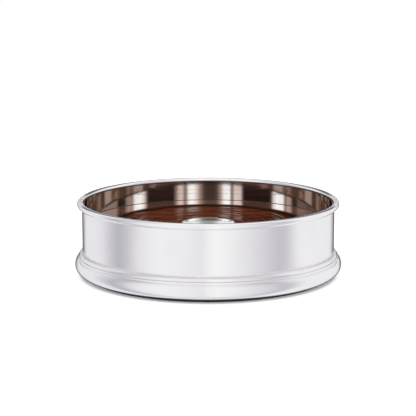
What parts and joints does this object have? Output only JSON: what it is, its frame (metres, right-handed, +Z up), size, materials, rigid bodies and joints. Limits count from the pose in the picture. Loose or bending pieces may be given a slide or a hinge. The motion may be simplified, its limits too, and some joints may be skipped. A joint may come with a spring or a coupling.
{
  "type": "wine bottle coaster",
  "caption": "Round silver wine bottle coaster with a bellied foot, a wire rim, a silver lining, a turned wooden floor and a domed boss, on a baize base.",
  "frame": {"origin": "middle of the underside of the baize, on the plane that the coaster stands on", "axes": "+Z up along the axis of the coaster, -Y towards the front as pictured, +X to the right; round about Z but for the nut"},
  "size_m": [0.127, 0.127, 0.0358],
  "materials": {
    "polished_silver": "hand polished sterling silver, mirror bright with fine polishing lines",
    "lining_silver": "polished sterling silver, a little warmer and softer than the outside",
    "mahogany": "turned mahogany, stained red-brown and french polished",
    "core_wood": "plain turned beech, unpolished",
    "brass": "turned brass, dull",
    "baize": "black wool baize, short nap"
  },
  "bodies": {
    "root": {"gallery": "polished_silver", "rim_wire": "polished_silver", "inner_liner": "lining_silver", "floor_disc": "mahogany", "boss": "polished_silver", "boss_stud": "brass", "boss_washer": "brass", "boss_nut": "brass", "core_block": "core_wood", "baize_pad": "baize"}
  },
  "joints": []
}
